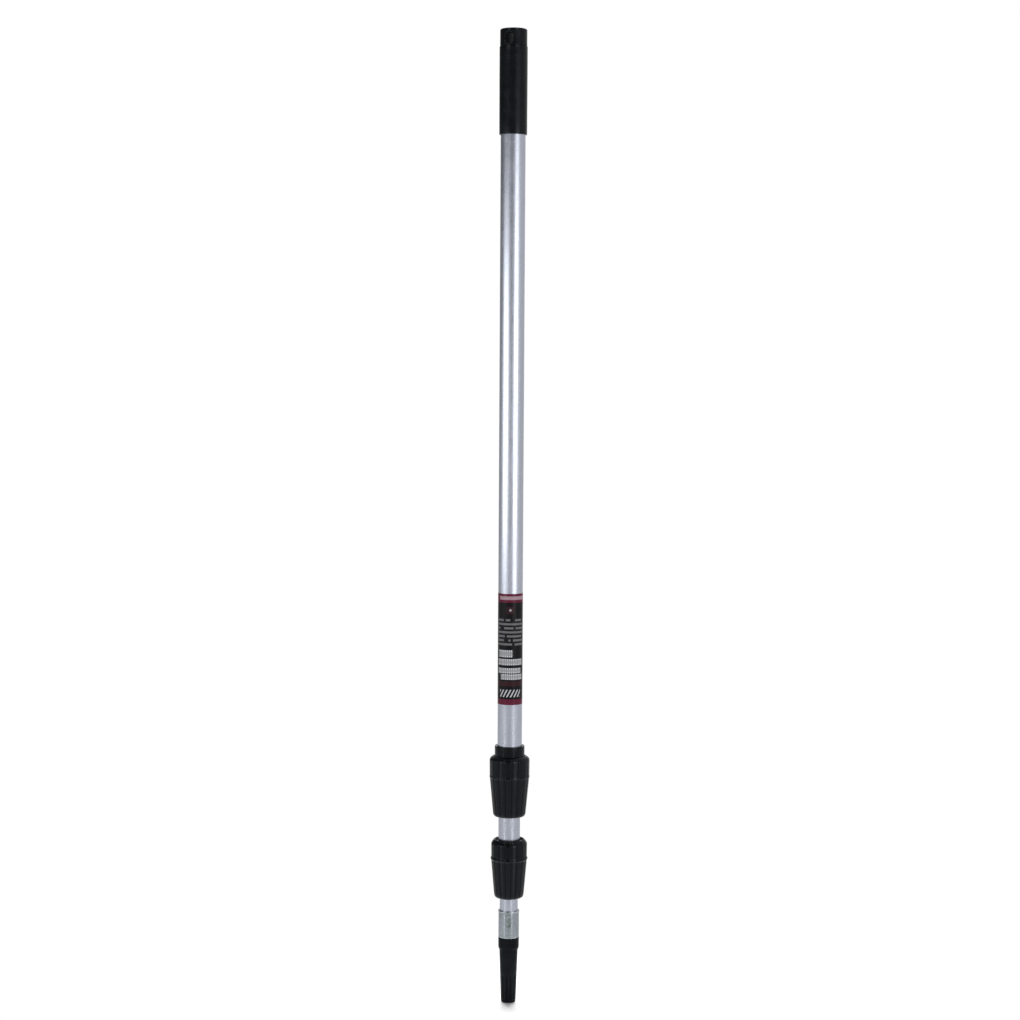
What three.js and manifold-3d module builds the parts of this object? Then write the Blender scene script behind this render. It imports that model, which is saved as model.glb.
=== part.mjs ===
// Roller extension pole: three round tubes that slide in one another, held by two twist locks.
// The outer tube carries a plastic grip and a cap with a hanging hole. The inner tube carries a
// ferrule and the tapered tip that a paint roller's frame pushes onto.
//
// Millimetres, +Z up. The pole stands upright with its tip down, nearly closed, both locks tight.
// The origin is the centre of the hanging hole, whose axis is Y.
import * as THREE from "three";
import { mergeVertices } from "three/addons/utils/BufferGeometryUtils.js";
import Module from "manifold-3d";

const wasm = await Module();
wasm.setup();

// ---- Driving dimensions. Heights are measured up from the tip's end face.

const OUTER_D = 28;
const MIDDLE_D = 24.8;
const INNER_D = 20.8;
const WALL = 1;
const TRAVEL = 700; // how far each inner section slides out

const OUTER_TUBE_END = 248;
const MIDDLE_TUBE_END = 153;
const INNER_TUBE_END = 76;

const GRIP_BOTTOM = 989.5;
const GRIP_TOP = 1087.3;
const GRIP_D = 31.6;
const CAP_TOP = 1106.5;
const CAP_D = 30.5;
const HOLE_HEIGHT = 1095.5;
const HOLE_WIDTH = 10;
const HOLE_LENGTH = 12.5;

const LABEL_BOTTOM = 347;
const LABEL_TOP = 474;
const LABEL_FILM = 0.15;

const FERRULE_BOTTOM = 76; // flush with the tube's end
const FERRULE_TOP = 107.4;
const FERRULE_D = 23.7;
const FLANGE_D = 24.5;
const TIP_BAND_D = 23.8;
const TIP_SHOULDER = 62.4; // where a socket's mouth stops
const TIP_SHOULDER_D = 21.3;
const TIP_END_D = 17.4;

const THREAD_PITCH = 4;
const RIBS = 18; // round each nut
const RIB_DEPTH = 1;
const TIP_RIBS = 12;

// ---- Clearances and the fineness of round shapes.

const FIT = 0.03; // radial, between pieces fixed to each other
const RUNNING = 0.15; // radial, between pieces that turn or slide
const END_GAP = 0.3; // along the axis, between faces that meet
const SIDES = 36;
const THREAD_STEPS = 18; // per turn
const DEGREE = Math.PI / 180;

// Azimuths run from -Y towards +X.
const RIB_PHASE = 8.5 * DEGREE; // a groove of each nut
const CRIMP_AZIMUTH = 22 * DEGREE;

// ---- Solids.

function solid(geometry) {
  geometry.deleteAttribute("normal");
  geometry.deleteAttribute("uv");
  const merged = mergeVertices(geometry, 1e-4);
  const corners = merged.index.array;
  const triVerts = [];
  for (let i = 0; i < corners.length; i += 3) {
    const [a, b, c] = corners.slice(i, i + 3);
    if (a !== b && b !== c && c !== a) triVerts.push(a, b, c);
  }
  const vertProperties = merged.attributes.position.array;
  const mesh = new wasm.Mesh({ numProp: 3, vertProperties, triVerts: new Uint32Array(triVerts) });
  return new wasm.Manifold(mesh);
}

function geometryOf(body) {
  const { vertProperties, triVerts } = body.getMesh();
  const geometry = new THREE.BufferGeometry()
    .setAttribute("position", new THREE.BufferAttribute(vertProperties, 3))
    .setIndex(new THREE.BufferAttribute(triVerts, 1))
    .toNonIndexed();
  geometry.computeVertexNormals();
  return geometry;
}

// A closed outline of [radius, height] points, turned about Z. It runs anticlockwise.
function lathe(outline, sides = SIDES, phase = 0) {
  const points = [...outline, outline[0]].map(([r, z]) => new THREE.Vector2(r, z));
  return new THREE.LatheGeometry(points, sides, phase).rotateX(Math.PI / 2);
}

function turned(outline) {
  return solid(lathe(outline));
}

function ring(innerR, outerR, bottom, top) {
  return turned([[innerR, bottom], [outerR, bottom], [outerR, top], [innerR, top]]);
}

// A block that reaches out from the axis at an azimuth, from one radius to another.
function radialBlock(azimuth, fromR, toR, width, bottom, top) {
  const block = new THREE.BoxGeometry(width, toR - fromR, top - bottom);
  block.translate(0, -(fromR + toR) / 2, (bottom + top) / 2);
  return solid(block.rotateZ(azimuth));
}

// A round peg that reaches out from the axis at an azimuth.
function radialPeg(azimuth, fromR, toR, radius, height) {
  const peg = new THREE.CylinderGeometry(radius, radius, toR - fromR, 12);
  peg.translate(0, -(fromR + toR) / 2, 0);
  return solid(peg.rotateZ(azimuth).translate(0, 0, height));
}

// A slot with round ends, upright, along Y.
function uprightSlot(width, length, depth) {
  const r = width / 2;
  const straight = length / 2 - r;
  const outline = new THREE.Shape();
  outline.absarc(0, straight, r, 0, Math.PI);
  outline.absarc(0, -straight, r, Math.PI, 2 * Math.PI);
  const slot = new THREE.ExtrudeGeometry(outline, { depth, bevelEnabled: false, curveSegments: 5 });
  return slot.translate(0, 0, -depth / 2).rotateX(Math.PI / 2);
}

// A helical ridge of trapezoid section about Z. It rises by THREAD_PITCH each turn.
function threadRidge(rootR, crestR, bottom, turns) {
  const rootWidth = 1.9;
  const crestWidth = 1.1;
  const section = new THREE.Shape([
    new THREE.Vector2(-rootWidth / 2, rootR),
    new THREE.Vector2(rootWidth / 2, rootR),
    new THREE.Vector2(crestWidth / 2, crestR),
    new THREE.Vector2(-crestWidth / 2, crestR),
  ]);
  const depth = turns * 2 * Math.PI;
  const steps = Math.round(turns * THREAD_STEPS);
  const bar = new THREE.ExtrudeGeometry(section, { depth, steps, bevelEnabled: false });
  const place = bar.attributes.position;
  for (let i = 0; i < place.count; i += 1) {
    const along = place.getX(i);
    const radius = place.getY(i);
    const angle = place.getZ(i);
    const height = bottom + along + (THREAD_PITCH * angle) / (2 * Math.PI);
    place.setXYZ(i, radius * Math.cos(angle), radius * Math.sin(angle), height);
  }
  return solid(bar);
}

// A turned outline whose outside has RIBS flat ribs with V grooves between them. depthAt gives the
// groove's depth at a height.
function ribbed(outline, depthAt) {
  const body = lathe(outline, RIBS * 3);
  const pitch = (2 * Math.PI) / RIBS;
  const cornerOfRib = [0, 0.23 * pitch, 0.77 * pitch];
  const place = body.attributes.position;
  for (let i = 0; i < place.count; i += 1) {
    const radius = Math.hypot(place.getX(i), place.getY(i));
    const step = Math.round(Math.atan2(place.getX(i), -place.getY(i)) / (pitch / 3));
    const rib = Math.floor(step / 3);
    const corner = step - 3 * rib;
    const azimuth = rib * pitch + cornerOfRib[corner] + RIB_PHASE;
    const r = corner === 0 ? radius - depthAt(place.getZ(i)) : radius;
    place.setXY(i, r * Math.sin(azimuth), -r * Math.cos(azimuth));
  }
  return solid(body);
}

function part(name, body, finish) {
  const mesh = new THREE.Mesh(geometryOf(body), new THREE.MeshStandardMaterial(finish));
  mesh.name = name;
  return mesh;
}

// ---- Finishes.

const ALUMINIUM = { color: 0xb9bcc6, roughness: 0.32, metalness: 1 };
const ZINC = { color: 0x9aa3a8, roughness: 0.45, metalness: 1 };
const SATIN_BLACK = { color: 0x0d0d0e, roughness: 0.5, metalness: 0 };
const GLOSS_BLACK = { color: 0x0b0b0c, roughness: 0.28, metalness: 0 };
const LABEL_FILM_BLACK = { color: 0x140a0d, roughness: 0.25, metalness: 0 };
const NYLON = { color: 0xd8d6cf, roughness: 0.45, metalness: 0 };

// ---- Tubes.

// A plain tube with two punched holes that take its lock body's lugs.
const LUG_HEIGHT = 22; // above the tube's end
const LUG_R = 2.4;
const LUG_AZIMUTHS = [Math.PI / 2, -Math.PI / 2];

function punched(tube, diameter) {
  const reach = diameter / 2;
  return LUG_AZIMUTHS.reduce(
    (body, azimuth) => body.subtract(radialPeg(azimuth, reach - 4, reach + 2, LUG_R + FIT, LUG_HEIGHT)),
    tube,
  );
}

// A tube with a rolled groove for its guide ring. Heights are above the tube's end.
const GROOVE_DEPTH = 0.6;
const GROOVE_LENGTH = 16;
const GROOVE_RAMP = 1;

function groovedTube(diameter, length, groove) {
  const r = diameter / 2;
  const bore = r - WALL;
  const grooveEnd = groove + GROOVE_LENGTH;
  return turned([
    [bore, 0],
    [r, 0],
    [r, groove - GROOVE_RAMP],
    [r - GROOVE_DEPTH, groove],
    [r - GROOVE_DEPTH, grooveEnd],
    [r, grooveEnd + GROOVE_RAMP],
    [r, length],
    [bore, length],
    [bore, grooveEnd + GROOVE_RAMP],
    [bore - GROOVE_DEPTH, grooveEnd],
    [bore - GROOVE_DEPTH, groove],
    [bore, groove - GROOVE_RAMP],
  ]);
}

// A split ring that sits in the groove of one tube and slides in the bore of the next.
const RING_SPLIT = 2;

function guideRing(tubeD, boreD) {
  const innerR = tubeD / 2 - GROOVE_DEPTH + RUNNING;
  const outerR = boreD / 2 - RUNNING;
  const body = ring(innerR, outerR, END_GAP, GROOVE_LENGTH - END_GAP);
  return body.subtract(radialBlock(0, innerR - 2, outerR + 2, RING_SPLIT, -1, GROOVE_LENGTH + 1));
}

// A vented cup that closes a tube's hidden end and bears on the bore of the next tube.
const PLUG_SPIGOT = 16;
const PLUG_HEAD = 4;
const PLUG_WALL = 1.6;
const VENT_R = 2.5;

function endPlug(tubeD, boreD) {
  const spigotR = tubeD / 2 - WALL - FIT;
  const headR = boreD / 2 - RUNNING - 0.1;
  const cupR = spigotR - PLUG_WALL;
  return turned([
    [cupR, -PLUG_SPIGOT],
    [spigotR, -PLUG_SPIGOT],
    [spigotR, FIT],
    [headR, FIT],
    [headR, PLUG_HEAD - 1],
    [headR - 1, PLUG_HEAD],
    [VENT_R, PLUG_HEAD],
    [VENT_R, PLUG_HEAD - PLUG_WALL],
    [cupR, PLUG_HEAD - PLUG_WALL],
  ]);
}

// ---- Twist locks. Heights are above the end of the tube that carries the lock.

const NUT_BOTTOM = -31;
const CONE_BOTTOM = NUT_BOTTOM + 4;
const CONE_TOP = -6;
const LIP_BOTTOM = -4.4; // the tube's end rests on the lip
const MOUTH_DEPTH = 1.6; // of the flare at the top of a nut's bore
const MALE_TURNS = 3;
const FEMALE_TURNS = 2;

// Everything about a lock that both its body and its nut need.
function lockSizes({ tubeD, slidingD, rootOver, threadDepth, ...given }) {
  const rootR = tubeD / 2 + rootOver;
  const slidingR = slidingD / 2;
  const { neckR, neckStart } = given;
  return {
    ...given,
    tubeR: tubeD / 2,
    slidingR,
    rootR,
    threadR: rootR + threadDepth,
    nutBoreR: neckR + 2 * RUNNING,
    coneBottomR: slidingR + 1.9,
    coneTopR: slidingR + 4.1,
    maleStart: neckStart - 2 - MALE_TURNS * THREAD_PITCH,
  };
}

const OUTER_LOCK = lockSizes({
  tubeD: OUTER_D,
  slidingD: MIDDLE_D,
  rootOver: 2,
  threadDepth: 1,
  neckR: 17.1,
  neckStart: 32.9,
  neckTop: 50.5,
  nutTop: 38.9,
  mouthR: 17.7,
});
const INNER_LOCK = lockSizes({
  tubeD: MIDDLE_D,
  slidingD: INNER_D,
  rootOver: 1.7,
  threadDepth: 0.9,
  neckR: 15,
  neckStart: 31,
  neckTop: 35,
  nutTop: 36.8,
  mouthR: 17,
});

// The collar on the tube's end: a lip under the tube, a male thread and a smooth neck.
function lockBody(lock) {
  const bore = lock.tubeR + FIT;
  const chamfer = 0.8;
  const collar = turned([
    [lock.slidingR + 2 * RUNNING, LIP_BOTTOM],
    [lock.rootR, LIP_BOTTOM],
    [lock.rootR, lock.neckStart],
    [lock.neckR, lock.neckStart + chamfer],
    [lock.neckR, lock.neckTop - chamfer],
    [lock.neckR - chamfer, lock.neckTop],
    [bore, lock.neckTop],
    [bore, -FIT],
    [lock.slidingR + 2 * RUNNING, -FIT],
  ]);
  const thread = threadRidge(lock.rootR - 0.4, lock.threadR, lock.maleStart, MALE_TURNS);
  return LUG_AZIMUTHS.reduce(
    (body, azimuth) =>
      body.add(radialPeg(azimuth, lock.tubeR - 0.9, lock.tubeR + 0.6, LUG_R, LUG_HEIGHT)),
    collar.add(thread),
  );
}

// The radius of the cone inside the nut.
function coneR(lock, height) {
  const slope = (lock.coneTopR - lock.coneBottomR) / (CONE_TOP - CONE_BOTTOM);
  return lock.coneBottomR + slope * (height - CONE_BOTTOM);
}

// The split cone ring that the nut's cone squeezes onto the sliding tube.
function clampRing(lock) {
  const bottom = CONE_BOTTOM + 2;
  const top = LIP_BOTTOM - END_GAP;
  const bore = lock.slidingR + RUNNING;
  const clear = 0.12;
  const body = turned([
    [bore, bottom],
    [coneR(lock, bottom) - clear, bottom],
    [coneR(lock, CONE_TOP) - clear, CONE_TOP],
    [coneR(lock, CONE_TOP) - clear, top],
    [bore, top],
  ]);
  const through = radialBlock(0, bore - 2, lock.coneTopR + 2, 2.2, bottom - 1, top + 1);
  const partSlits = [1, 2, 3].map((quarter) =>
    radialBlock((quarter * Math.PI) / 2, bore - 2, lock.coneTopR + 2, 1.4, bottom - 1, top - 6),
  );
  return partSlits.reduce((ringBody, slit) => ringBody.subtract(slit), body.subtract(through));
}

// The ribbed nut: outline is its outside from bottom to top, and grooves fade out at both ends.
function lockNut(lock, outline) {
  const outside = [...outline, [0, lock.nutTop], [0, NUT_BOTTOM]];
  const depthAt = (height) =>
    height <= NUT_BOTTOM || height >= lock.nutTop ? 0 : RIB_DEPTH;
  const inside = turned([
    [0, NUT_BOTTOM - 1],
    [lock.slidingR + 0.7, NUT_BOTTOM - 1],
    [lock.slidingR + 0.7, CONE_BOTTOM],
    [lock.coneBottomR, CONE_BOTTOM],
    [lock.coneTopR, CONE_TOP],
    [lock.nutBoreR, CONE_TOP + 2],
    [lock.nutBoreR, lock.nutTop - MOUTH_DEPTH],
    [lock.mouthR, lock.nutTop],
    [lock.mouthR, lock.nutTop + 1],
    [0, lock.nutTop + 1],
  ]);
  const femaleStart = lock.maleStart + THREAD_PITCH / 2; // midway between the male turns
  const thread = threadRidge(lock.nutBoreR + 0.4, lock.rootR + 2 * RUNNING, femaleStart, FEMALE_TURNS);
  return ribbed(outside, depthAt).subtract(inside).add(thread);
}

const OUTER_NUT_OUTLINE = [
  [17.2, NUT_BOTTOM],
  [18.6, NUT_BOTTOM + 2],
  [22.9, 15.6],
  [23.1, 16.4],
  [23.1, 17.8],
  [22.9, 18.6],
  [22.95, 34],
  [22.2, 35.8],
  [20.8, 37.1],
  [18.2, OUTER_LOCK.nutTop],
];
const INNER_NUT_OUTLINE = [
  [14.2, NUT_BOTTOM],
  [16.4, NUT_BOTTOM + 1.6],
  [17.1, NUT_BOTTOM + 4.5],
  [20.6, 13.6],
  [21.2, 14.4],
  [21.2, 15.8],
  [20.6, 16.6],
  [20.6, 31],
  [20.1, 33.2],
  [18.7, 35.7],
  [17.4, INNER_LOCK.nutTop],
];

// ---- Grip end.

function handleGrip() {
  const bore = OUTER_D / 2 + FIT;
  const r = GRIP_D / 2;
  return turned([
    [bore, GRIP_BOTTOM],
    [r - 0.9, GRIP_BOTTOM],
    [r - 0.1, GRIP_BOTTOM + 1],
    [r, GRIP_TOP - 0.6],
    [r - 0.4, GRIP_TOP],
    [bore, GRIP_TOP],
  ]);
}

function hangCap() {
  const headBottom = GRIP_TOP + END_GAP;
  const headR = CAP_D / 2;
  const spigotR = OUTER_D / 2 - WALL - FIT;
  const spigotBottom = headBottom - 26;
  const cupR = spigotR - 1.8;
  const cupTop = headBottom - 5;
  const edge = 1.8;
  const cap = turned([
    [cupR, spigotBottom],
    [spigotR, spigotBottom],
    [spigotR, headBottom],
    [headR, headBottom],
    [headR, CAP_TOP - edge],
    [headR - 0.3 * edge, CAP_TOP - 0.3 * edge],
    [headR - edge, CAP_TOP],
    [0, CAP_TOP],
    [0, cupTop],
    [cupR, cupTop],
  ]);
  const hole = uprightSlot(HOLE_WIDTH, HOLE_LENGTH, 2 * CAP_D).translate(0, 0, HOLE_HEIGHT);
  return cap.subtract(solid(hole));
}

// ---- Tip end.

const CRIMP_HEIGHT = 96;
const CRIMP_WIDTH = 4.6;
const CRIMP_LENGTH = 9;

// A crimp's slot, from one radius to another, at its place on the ferrule.
function crimpSlot(grow, fromR, toR, turn) {
  const slot = uprightSlot(CRIMP_WIDTH + grow, CRIMP_LENGTH + grow, toR - fromR);
  slot.translate(0, -(fromR + toR) / 2, CRIMP_HEIGHT);
  return solid(slot.rotateZ(CRIMP_AZIMUTH + turn));
}

const CRIMP_TURNS = [0, Math.PI];

// The ferrule's two crimps press through the tube's slots into the tip's pockets.
function ferrule() {
  const bore = INNER_D / 2 + FIT;
  const r = FERRULE_D / 2;
  const flange = 1.4;
  const sleeve = turned([
    [bore, FERRULE_BOTTOM],
    [r - 0.3, FERRULE_BOTTOM],
    [r, FERRULE_BOTTOM + 0.3],
    [r, FERRULE_TOP - flange - 0.3],
    [FLANGE_D / 2, FERRULE_TOP - flange],
    [FLANGE_D / 2, FERRULE_TOP],
    [bore, FERRULE_TOP],
  ]);
  const sunk = CRIMP_TURNS.reduce(
    (body, turn) => body.add(crimpSlot(0, bore - 1.4, bore + 0.5, turn)),
    sleeve,
  );
  return CRIMP_TURNS.reduce((body, turn) => body.subtract(crimpSlot(-1, bore - 0.4, r + 2, turn)), sunk);
}

function innerTube(length, groove) {
  const tube = groovedTube(INNER_D, length, groove).translate(0, 0, INNER_TUBE_END);
  const bore = INNER_D / 2 - WALL;
  return CRIMP_TURNS.reduce(
    (body, turn) => body.subtract(crimpSlot(0.3, bore - 1, INNER_D / 2 + 1, turn)),
    tube,
  );
}

function tip() {
  const spigotR = INNER_D / 2 - WALL - FIT;
  const spigotTop = 121;
  const bandTop = FERRULE_BOTTOM - END_GAP;
  const bandR = TIP_BAND_D / 2;
  const shoulderR = TIP_SHOULDER_D / 2;
  const endR = TIP_END_D / 2;
  const wall = 2.2;
  const cavityBottom = 9;
  const body = turned([
    [0, 0],
    [endR - 1.3, 0],
    [endR - 0.4, 0.4],
    [endR, 1.4],
    [shoulderR, TIP_SHOULDER],
    [bandR - 0.5, TIP_SHOULDER],
    [bandR, TIP_SHOULDER + 3],
    [bandR, bandTop],
    [spigotR, bandTop],
    [spigotR, spigotTop - 1],
    [spigotR - 1, spigotTop],
    [spigotR - wall, spigotTop],
    [spigotR - wall, TIP_SHOULDER],
    [endR - wall, cavityBottom],
    [0, cavityBottom],
  ]);
  const pocketed = CRIMP_TURNS.reduce(
    (tipBody, turn) => tipBody.subtract(crimpSlot(0.3, spigotR - 0.8, spigotR + 1, turn)),
    body,
  );
  return Array.from({ length: TIP_RIBS }, (_, i) => (i * 2 * Math.PI) / TIP_RIBS).reduce(
    (tipBody, azimuth) => tipBody.subtract(tipGroove(azimuth + RIB_PHASE)),
    pocketed,
  );
}

// One groove between two of the tip's ribs. It follows the taper.
const TIP_GROOVE_BOTTOM = 3;
const TIP_GROOVE_TOP = 32;

function tipGroove(azimuth) {
  const taper = Math.atan((TIP_SHOULDER_D - TIP_END_D) / 2 / TIP_SHOULDER);
  const groove = new THREE.BoxGeometry(1.6, 2, TIP_GROOVE_TOP - TIP_GROOVE_BOTTOM);
  const middle = (TIP_GROOVE_TOP + TIP_GROOVE_BOTTOM) / 2;
  const surfaceR = TIP_END_D / 2 + Math.tan(taper) * middle;
  groove.rotateX(taper).translate(0, -(surfaceR + 0.4), middle);
  return solid(groove.rotateZ(azimuth));
}

// ---- The pole.

// Each guide ring stops just short of its lock's lip at full travel.
const GUIDE_START = TRAVEL + 1; // above the end of the tube it slides in
const middleGroove = OUTER_TUBE_END + GUIDE_START - MIDDLE_TUBE_END;
const innerGroove = MIDDLE_TUBE_END + GUIDE_START - INNER_TUBE_END;
const BEYOND_GUIDE = 55; // tube between the guide ring and the end plug
const middleLength = middleGroove + GROOVE_LENGTH + BEYOND_GUIDE;
const innerLength = innerGroove + GROOVE_LENGTH + BEYOND_GUIDE;
const OUTER_BORE_D = OUTER_D - 2 * WALL;
const MIDDLE_BORE_D = MIDDLE_D - 2 * WALL;

// A lock's three pieces, in a group placed at the end of its tube.
function lockGroup(prefix, lock, outline, height) {
  const group = new THREE.Group();
  group.position.z = height;
  group.add(
    part(`${prefix}_lock_body`, lockBody(lock), GLOSS_BLACK),
    part(`${prefix}_clamp_ring`, clampRing(lock), NYLON),
    part(`${prefix}_lock_nut`, lockNut(lock, outline), GLOSS_BLACK),
  );
  return group;
}

// A guide ring and an end plug, in a group placed at the end of their tube.
function guideGroup(prefix, tubeD, boreD, tubeEnd, groove, length) {
  const group = new THREE.Group();
  group.position.z = tubeEnd;
  const guide = part(`${prefix}_guide_ring`, guideRing(tubeD, boreD), NYLON);
  guide.position.z = groove;
  const plug = part(`${prefix}_end_plug`, endPlug(tubeD, boreD), NYLON);
  plug.position.z = length;
  group.add(guide, plug);
  return group;
}

function outerSection() {
  const group = new THREE.Group();
  const length = GRIP_TOP - OUTER_TUBE_END;
  const bare = ring(OUTER_D / 2 - WALL, OUTER_D / 2, 0, length);
  const tube = part("outer_tube", punched(bare, OUTER_D), ALUMINIUM);
  tube.position.z = OUTER_TUBE_END;
  const filmR = OUTER_D / 2 + FIT;
  group.add(
    tube,
    part("label", ring(filmR, filmR + LABEL_FILM, LABEL_BOTTOM, LABEL_TOP), LABEL_FILM_BLACK),
    part("handle_grip", handleGrip(), SATIN_BLACK),
    part("hang_cap", hangCap(), SATIN_BLACK),
    lockGroup("outer", OUTER_LOCK, OUTER_NUT_OUTLINE, OUTER_TUBE_END),
  );
  return group;
}

function middleSection() {
  const group = new THREE.Group();
  const bare = groovedTube(MIDDLE_D, middleLength, middleGroove);
  const tube = part("middle_tube", punched(bare, MIDDLE_D), ALUMINIUM);
  tube.position.z = MIDDLE_TUBE_END;
  group.add(
    tube,
    guideGroup("middle", MIDDLE_D, OUTER_BORE_D, MIDDLE_TUBE_END, middleGroove, middleLength),
    lockGroup("inner", INNER_LOCK, INNER_NUT_OUTLINE, MIDDLE_TUBE_END),
  );
  return group;
}

function innerSection() {
  const group = new THREE.Group();
  group.add(
    part("inner_tube", innerTube(innerLength, innerGroove), ALUMINIUM),
    guideGroup("inner", INNER_D, MIDDLE_BORE_D, INNER_TUBE_END, innerGroove, innerLength),
    part("ferrule", ferrule(), ZINC),
    part("tip", tip(), SATIN_BLACK),
  );
  return group;
}

const pole = new THREE.Group();
pole.position.z = -HOLE_HEIGHT;
pole.add(outerSection(), middleSection(), innerSection());

export default pole;
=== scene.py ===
"""A roller extension pole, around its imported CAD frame: three aluminium tubes, two twist locks, a grip
and a tapered tip. The pole stands on its tip, and its axis is the frame's Z axis.

Sizes are in millimetres unless a comment says otherwise. Heights are above the tip's end face, and
azimuths run from -Y towards +X, in degrees.
"""

import math

import bmesh
import bpy
import numpy as np
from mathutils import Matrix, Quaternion, Vector


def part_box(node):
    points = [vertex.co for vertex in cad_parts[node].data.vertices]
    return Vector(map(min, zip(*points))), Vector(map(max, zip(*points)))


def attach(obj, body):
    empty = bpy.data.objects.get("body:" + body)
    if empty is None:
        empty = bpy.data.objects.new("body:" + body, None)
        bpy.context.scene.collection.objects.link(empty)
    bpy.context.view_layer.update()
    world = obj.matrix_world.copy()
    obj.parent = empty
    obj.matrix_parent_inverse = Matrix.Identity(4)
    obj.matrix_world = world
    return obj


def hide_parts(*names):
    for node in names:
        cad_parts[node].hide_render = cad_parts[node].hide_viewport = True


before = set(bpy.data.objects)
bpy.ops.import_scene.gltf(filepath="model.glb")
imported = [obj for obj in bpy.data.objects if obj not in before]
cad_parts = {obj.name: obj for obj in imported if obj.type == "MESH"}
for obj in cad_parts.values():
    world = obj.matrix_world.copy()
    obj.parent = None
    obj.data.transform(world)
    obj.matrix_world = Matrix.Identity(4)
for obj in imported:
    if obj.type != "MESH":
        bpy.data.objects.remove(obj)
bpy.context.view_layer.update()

MM = 0.001
TIP_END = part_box("tip")[0].z  # metres, the height that all heights start from

# ---- Sizes taken from the frame.


def radius_of(node):
    """A round node's outside radius."""
    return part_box(node)[1].x / MM


def span_of(node):
    """The heights of a node's two ends."""
    low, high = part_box(node)
    return (low.z - TIP_END) / MM, (high.z - TIP_END) / MM


OUTER_END, OUTER_TOP = span_of("outer_tube")
MIDDLE_END, MIDDLE_TOP = span_of("middle_tube")
INNER_END, INNER_TOP = span_of("inner_tube")
OUTER_R = radius_of("outer_tube")
MIDDLE_R = radius_of("middle_tube")
INNER_R = radius_of("inner_tube")
WALL = 1.0
FIT = 0.03  # radial, between pieces fixed to each other
RUNNING = 0.15  # radial, between pieces that turn or slide

FRONT = 22.0  # the azimuth that the camera sees the pole from
RIB_PHASE = 8.5  # a groove of each nut, and of the tip
NUT_RIBS = 18
SIDES_PER_RIB = 20
TIP_RIBS = 12
THREAD_PITCH = 4.0


# ---- Outlines and meshes.


def towards(azimuth, distance, height):
    """A point at an azimuth and a distance from the pole's axis."""
    angle = math.radians(azimuth)
    return Vector((distance * math.sin(angle), -distance * math.cos(angle), height))


def rounded(*corners, arc=5):
    """An outline of (radius, height) points from (radius, height, rounding) corners.
    A rounding has arc points and never takes more than half a side."""
    points = []
    count = len(corners)
    for i, corner in enumerate(corners):
        here = np.array(corner[:2], float)
        reach = corner[2] if len(corner) > 2 else 0
        if not reach:
            points.append(tuple(here))
            continue
        before = np.array(corners[i - 1][:2], float) - here
        after = np.array(corners[(i + 1) % count][:2], float) - here
        start = here + before * min(reach / np.linalg.norm(before), 0.49)
        end = here + after * min(reach / np.linalg.norm(after), 0.49)
        for t in np.linspace(0, 1, arc):
            points.append(tuple((1 - t) ** 2 * start + 2 * t * (1 - t) * here + t**2 * end))
    return points


def divided(outline, step, low=-math.inf, high=math.inf):
    """The same closed outline with no stretch longer than step between two heights."""
    points = []
    for (r0, z0), (r1, z1) in zip(outline, outline[1:] + outline[:1]):
        points.append((r0, z0))
        if min(z0, z1) > high or max(z0, z1) < low:
            continue
        pieces = math.ceil(math.hypot(r1 - r0, z1 - z0) / step - 1e-6)
        for k in range(1, pieces):
            points.append((r0 + (r1 - r0) * k / pieces, z0 + (z1 - z0) * k / pieces))
    return points


def new_piece(name, points, faces):
    """A mesh object from points in millimetres, with its faces outward."""
    mesh = bpy.data.meshes.new(name)
    mesh.from_pydata([tuple(p) for p in points], [], faces)
    bm = bmesh.new()
    bm.from_mesh(mesh)
    bmesh.ops.scale(bm, vec=(MM, MM, MM), verts=bm.verts)
    bmesh.ops.translate(bm, vec=(0, 0, TIP_END), verts=bm.verts)
    bmesh.ops.remove_doubles(bm, verts=bm.verts, dist=1e-7)
    bmesh.ops.recalc_face_normals(bm, faces=bm.faces)
    bm.to_mesh(mesh)
    bm.free()
    piece = bpy.data.objects.new(name, mesh)
    bpy.context.scene.collection.objects.link(piece)
    return piece


def revolve(name, outline, sides, shape=None, start=0.0, sweep=360.0):
    """A closed outline of (radius, height) points turned about the pole's axis.
    shape(azimuth, radius, height) gives new radii."""
    closed = sweep >= 360
    columns = sides if closed else sides + 1
    azimuth = start + sweep * np.arange(columns)[:, None] / sides
    radius = np.array([p[0] for p in outline])[None, :] + 0 * azimuth
    height = np.array([p[1] for p in outline])[None, :] + 0 * azimuth
    azimuth = azimuth + 0 * radius
    if shape:
        radius = shape(azimuth, radius, height)
    angle = np.radians(azimuth)
    points = np.stack([radius * np.sin(angle), -radius * np.cos(angle), height], -1)
    rows = len(outline)
    faces = []
    for i in range(sides):
        j = (i + 1) % columns
        for k in range(rows):
            m = (k + 1) % rows
            faces.append((i * rows + k, j * rows + k, j * rows + m, i * rows + m))
    if not closed:
        faces.append(tuple(range(rows)))
        faces.append(tuple(sides * rows + k for k in reversed(range(rows))))
    return new_piece(name, points.reshape(-1, 3), faces)


def cut(piece, *cutters):
    """Takes the cutters' space out of a piece, and deletes them."""
    for cutter in cutters:
        modifier = piece.modifiers.new("cut", "BOOLEAN")
        modifier.operation = "DIFFERENCE"
        modifier.solver = "EXACT"
        modifier.object = cutter
    bpy.context.view_layer.update()
    result = piece.evaluated_get(bpy.context.evaluated_depsgraph_get())
    mesh = bpy.data.meshes.new_from_object(result)
    piece.modifiers.clear()
    piece.data = mesh
    for cutter in cutters:
        bpy.data.objects.remove(cutter)
    return piece


def mark(mesh, name, values):
    """Gives each vertex a number that the materials can read."""
    attribute = mesh.attributes.new(name, "FLOAT", "POINT")
    attribute.data.foreach_set("value", np.asarray(values, np.float32))


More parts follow.
